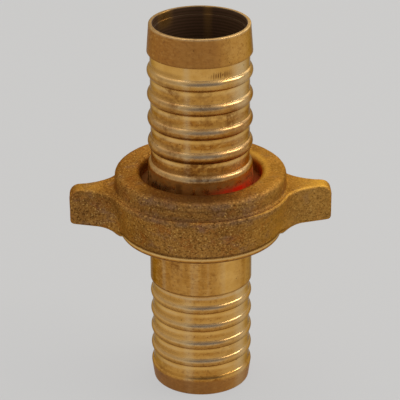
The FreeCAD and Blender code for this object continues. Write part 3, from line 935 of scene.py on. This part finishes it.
def nut_grid():
    """All the points of the nut, up the outside and down the hole and the thread, and the name of
    the part that each row is in.
    """
    on_edge, way, angle, low, high, inward = quarter_rays()
    plan = np.stack([
        all_round(on_edge[:, 0], 0, "x"), all_round(on_edge[:, 1], RING_TOP_RADIUS, "y"),
    ], -1)
    ways = np.stack([all_round(way[:, 0], 0, "x"), all_round(way[:, 1], 1, "y")], -1)
    angle = all_round(angle, np.pi / 2, "angle")
    low, high, inward = (all_round(values, values[-1], "even") for values in (low, high, inward))
    spokes = np.stack([np.cos(angle), np.sin(angle)], axis=-1)
    cut, under, wall, ledge = nut_casting(plan, ways, spokes, low, high, inward)

    mean = THREAD_MAJOR - THREAD_DEPTH / 2 + THREAD_GAP / 2
    band = rounded_path([
        (BAND_RADIUS - 0.5, NUT_FOOT, 0.0, 0.3),
        (BAND_RADIUS, NUT_FOOT + 0.6, 0.3, 0.3),
        (BAND_RADIUS, BAND_TOP, 0.0, 1.0),
    ], closed=False)
    # The foot of the boss is a quarter arc, of which the ledge has the lower half
    swing = np.linspace(np.pi / 4, np.pi / 2, 4)[1:-1]
    fillet = np.stack([
        BOSS_RADIUS + BOSS_FOOT * (1 - np.sin(swing)), LEDGE + BOSS_FOOT * (1 - np.cos(swing)),
    ], 1)
    inside = np.concatenate([fillet, rounded_path([
        (BOSS_RADIUS, LEDGE + BOSS_FOOT, 0.0, 0.9),
        (BOSS_RADIUS, NUT_TOP, BOSS_SHOULDER, 0.9),
        (HOLE, NUT_TOP, HOLE_RIM, 0.8),
        (HOLE, COLLAR_TOP, 0.1, 0.8),
        (RECESS, COLLAR_TOP, 0.4, 1.2),
        (RECESS, RECESS_FOOT, 0.2, 0.4),
        (mean, RECESS_FOOT - 0.4, 0.0, 0.21),
        (mean, NUT_FOOT + 1.4, 0.0, 0.21),
        (mean + 1.4, NUT_FOOT, 0.1, 0.9),
        (BAND_RADIUS - 1.5, NUT_FOOT, 0.0, 0.9),
    ], closed=False)])

    def ringed(path):
        """Round rows along a path of (radius, height)."""
        return level(spokes * path[:, 0][:, None, None], path[:, 1][:, None])

    # The thread's hollows run out towards the nut's foot
    inner = ringed(inside)
    on_thread = (np.abs(inside[:, 0] - mean) < 1e-6)[:, None]
    wave = thread_wave(angle, inner[..., 2])
    ends = 1 - below(inside[:, 1], NUT_FOOT + 2.1, 1.5)[:, None]
    wave = np.where(wave < 0, wave * ends, wave) * on_thread
    inner[..., :2] *= (1 + wave / inside[:, 0][:, None])[..., None]

    parts = {
        "band": ringed(band), "cut": cut, "under": under, "wall": wall, "ledge": ledge, "inner": inner,
    }
    part_of_row = np.repeat(list(parts), [len(rows) for rows in parts.values()])
    return np.concatenate(list(parts.values())), part_of_row


def normals_of(grid):
    """Unit normals of a grid joined up both ways: the cross product of its two central steps."""
    along = np.roll(grid, -1, axis=0) - np.roll(grid, 1, axis=0)
    around = np.roll(grid, -1, axis=1) - np.roll(grid, 1, axis=1)
    normal = np.cross(around, along)
    return normal / np.maximum(np.linalg.norm(normal, axis=-1, keepdims=True), 1e-9)


def nut_marks(grid, part):
    """Where the nut is polished bright and painted with highlights, grey reflections, shade and a red
    glow.
    """
    turn = angle_from_front(grid)
    across = np.hypot(grid[..., 0], grid[..., 1])
    height = grid[..., 2]
    front = bell(turn, -5, 60)
    on_band = np.isin(part, ["band", "cut"])[:, None]
    # Wear and painted highlights lie along the ledge's edge and the wings' tops, mostly on the lit
    # right, round the hole at the right, and over the whole right side
    edge_row = np.argmax(part == "ledge") + 3
    wear_and_painted_highlight = 0.5 * bell(np.arange(len(grid)), edge_row, 6)[:, None] * np.ones(turn.shape)
    wear_and_painted_highlight *= 0.1 + 0.9 * np.clip((grid[..., 0] - 10) / 20, 0, 1)
    wear_and_painted_highlight += 0.3 * np.clip((across - 46) / 6, 0, 1) * (1 - below(height, LEDGE, 1.5))
    wear_and_painted_highlight += 0.6 * bell(turn, 100, 75) * bell(across, HOLE + 2, 3.5) * (height > NUT_TOP - 3)
    wear_and_painted_highlight += between(turn, {20: 0, 60: 0.25, 120: 0.25, 180: 0})
    # Painted shade lies in the corner over the turned band, on the band's foot, under the boss's
    # shoulder, on the top's front and at the front of the boss's foot
    dirt_and_painted_shade = 0.8 * bell(height, BAND_TOP + 0.5, 0.9) * (across < 42)
    dirt_and_painted_shade += 0.6 * on_band * (height < NUT_FOOT + 0.9)
    dirt_and_painted_shade += 0.6 * front * (across > 30) * (bell(height, NUT_TOP - 4.3, 1) + (height > NUT_TOP - 0.6))
    dirt_and_painted_shade += 0.6 * front * (across > 41) * bell(height, LEDGE + 0.2, 0.6)
    # Painted grey reflections of the dim side lie in patches on the front of both shoulders
    dull = bell(height, NUT_TOP - 1.8, 2.4) + bell(height, LEDGE - 0.9, 2.6)
    dull *= bell(turn, 0, 75) * (across > 38) * np.clip(0.75 + 1.2 * lattice_noise(grid, 5.0, 6), 0, 1)
    # A painted red glow of light bouncing in the gap lies on the hole's wall at the right
    in_hole = (across < HOLE + 0.9) * (1 - below(height, COLLAR_TOP + 3, 3))
    return {
        "wear_and_painted_highlight": np.clip(wear_and_painted_highlight, 0, 1),
        "red": 0.9 * bell(turn, 75, 60) * in_hole,
        "dull": np.clip(dull, 0, 1),
        # The turned band: a painted highlight along its top and painted shade on its lower part
        "rubbed_and_painted_highlight": 0.5 * on_band * bell(height, BAND_TOP - 0.7, 1),
        "tarnish_and_painted_light": on_band * below(height, BAND_TOP - 1.2, 0.6),
        "dirt_and_painted_shade": np.clip(dirt_and_painted_shade, 0, 1),
    }


def wing_nut():
    """The nut: a grainy cast skin outside, turned faces at the band, the foot and the hole."""
    grid, part = nut_grid()
    middle_radius, middle_height = np.hypot(grid[:, 0, 0], grid[:, 0, 1]), grid[:, 0, 2]
    on_top = (middle_radius > HOLE - 0.1) & (middle_height > COLLAR_TOP + 0.2)
    on_boss = (part == "inner") & (on_top | (middle_radius > BOSS_RADIUS - 0.1))
    skin = np.isin(part, ["under", "wall", "ledge"]) | on_boss
    lumps = sum(share * lattice_noise(grid, size, seed) for share, size, seed in (
        (0.55, 7.0, 3), (0.3, 2.4, 4), (0.3, 1.1, 5)))
    sink = np.where(skin[:, None], 0.09 * (lumps - 1.3), 0.0)
    grid = grid + normals_of(grid) * sink[..., None]
    turned = np.append(~skin[:-1] | ~skin[1:], True)
    return ring_mesh("wing_nut_casting", grid, "wing_nut", "wing_nut", [CAST, BRIGHT],
                     turned.astype(int), nut_marks(grid, part))


threaded_tail()
collar_tail()
sealing_washer()
wing_nut()


# Floor, light and camera

def shows(tree):
    """1 for a ray from the camera or by way of metal or glass, 0 for a ray that only lights."""
    rays = add(tree, "LightPath").outputs
    by_way = add(tree, "Math", [rays["Is Glossy Ray"], rays["Is Transmission Ray"]], LARGER)
    return add(tree, "Math", [rays["Is Camera Ray"], by_way], LARGER)


def pale_card():
    """Pale grey card.

    Most of its grey shows of itself, evenly, and the rest takes the light and the shadow.
    """
    material, tree = new_material("pale_card")
    even = add(tree, "Emission", {"Color": PALE, "Strength": PALE_SHARE})
    shaded = add(tree, "BsdfDiffuse", {"Color": (SHADOW_SHARE,) * 3 + (1,)})
    shown = add(tree, "AddShader", [even, shaded])
    lit = add(tree, "BsdfDiffuse", {"Color": PALE})
    add(tree, "OutputMaterial", [add(tree, "MixShader", [shows(tree), lit, shown])])
    return material


def floor():
    """A pale floor: a flat disc, points on circles of growing radius, in metres."""
    radii = np.array([0.02, 0.2, 0.5, 1.5, 8.0])
    angle = np.linspace(0, 2 * np.pi, 96, endpoint=False)
    flat = radii[:, None, None] * np.stack([np.cos(angle), np.sin(angle)], -1)
    points = level(flat, 0.0).reshape(-1, 3)
    index = np.arange(len(points)).reshape(len(radii), -1)
    quads = np.stack([index[:-1], index[1:], np.roll(index[1:], -1, 1), np.roll(index[:-1], -1, 1)], -1)
    mesh = bpy.data.meshes.new("studio_floor")
    mesh.from_pydata(points.tolist(), [], quads.reshape(-1, 4).tolist() + [index[0].tolist()])
    mesh.materials.append(pale_card())
    disc = bpy.data.objects.new("studio_floor", mesh)
    bpy.context.scene.collection.objects.link(disc)


def direction(azimuth, elevation):
    """The unit vector at an azimuth, from the camera's side towards its right, and an elevation."""
    turn, lift = math.radians(azimuth), math.radians(elevation)
    return Vector((math.sin(turn) * math.cos(lift), -math.cos(turn) * math.cos(lift), math.sin(lift)))


def soft_light(name, azimuth, elevation, distance, width, height, strength, colour, lean=0):
    """A soft oblong lamp aimed at the union's middle. Azimuth 0 is the camera's side, 90 its right.

    lean turns the lamp about its aim, in degrees. Its distance and size are in metres.
    """
    lamp = bpy.data.lights.new(name, "AREA")
    lamp.shape = "RECTANGLE"
    lamp.size = width
    lamp.size_y = height
    lamp.energy = strength
    lamp.color = linear(colour)[:3]
    aim = Vector((0, 0, 0.095))
    away = direction(azimuth, elevation)
    holder = bpy.data.objects.new(name, lamp)
    holder.location = aim + away * distance
    holder.rotation_mode = "QUATERNION"
    leaned = Quaternion((0, 0, 1), math.radians(lean))
    holder.rotation_quaternion = away.to_track_quat("Z", "Y") @ leaned
    bpy.context.scene.collection.objects.link(holder)


def surroundings():
    """The room round the union: a warm grey that runs into the floor's pale grey low down, with its
    dim cool side in front of the union.

    The share of the dim side follows the cosine to its middle.
    """
    pale_foot, warm_grey, dim_side = "#CAC9C7", "#B4AEA4", "#7C7E90"
    world = bpy.data.worlds.new("studio_room")
    bpy.context.scene.world = world
    world.use_nodes = True
    tree = world.node_tree
    tree.nodes.clear()
    way = add(tree, "TexCoord").outputs["Generated"]
    lift = add(tree, "SeparateXYZ", [way]).outputs["Z"]
    towards = add(tree, "VectorMath", [way, direction(8.7, 14)], {"operation": "DOT_PRODUCT"})
    dim = add(tree, "Math", [
        add(tree, "MapRange", [towards, 0.74, 0.83], SMOOTH),
        add(tree, "MapRange", [lift, 0.02, 0.12], SMOOTH),
    ], TIMES)
    risen = add(tree, "MapRange", [lift, 0.0, 0.2], SMOOTH)
    room = layered(tree, pale_foot, [(risen, warm_grey), (dim, dim_side)])
    add(tree, "OutputWorld", [add(tree, "Background", {"Color": room, "Strength": 1.0})])


def photo_camera():
    """The camera at the photograph's angle, distance and lens, worked out from its ellipses.

    Height and distance are metres, lens and sensor are millimetres, and angles are degrees.
    """
    height, elevation, azimuth, roll = 0.09625, 24.957, -1.8, -0.3
    distance, lens, sensor = 0.94833, 174.18, 36.0
    # The union stands a little to the right of the picture's middle, in pixels of its width
    off_middle, picture_width = 0.6, 400
    back = direction(azimuth, elevation)
    data = bpy.data.cameras.new("photo_camera")
    data.lens = lens
    data.sensor_width = sensor
    data.sensor_fit = "HORIZONTAL"
    data.shift_x = -off_middle / picture_width
    camera = bpy.data.objects.new("photo_camera", data)
    camera.matrix_world = (
        Matrix.Translation(Vector((0, 0, height)) + back * distance)
        @ back.to_track_quat("Z", "Y").to_matrix().to_4x4()
        @ Matrix.Rotation(math.radians(roll), 4, "Z")
    )
    bpy.context.scene.collection.objects.link(camera)
    bpy.context.scene.camera = camera


floor()
surroundings()
soft_light("key_right", azimuth=85, elevation=40, distance=1.4, width=1.0, height=0.2,
           strength=4.4, colour="#FFF8EE", lean=-41)
soft_light("overhead", azimuth=180, elevation=74, distance=1.3, width=1.5, height=1.25,
           strength=6, colour="#FFFAF0")
soft_light("back_right", azimuth=150, elevation=30, distance=1.4, width=1.2, height=0.7,
           strength=2.6, colour="#FFFAF0")
soft_light("fill_left", azimuth=-100, elevation=55, distance=1.4, width=1.4, height=0.8,
           strength=1.0, colour="#FFF8EC", lean=30)
photo_camera()

bpy.context.scene.view_settings.view_transform = "Standard"
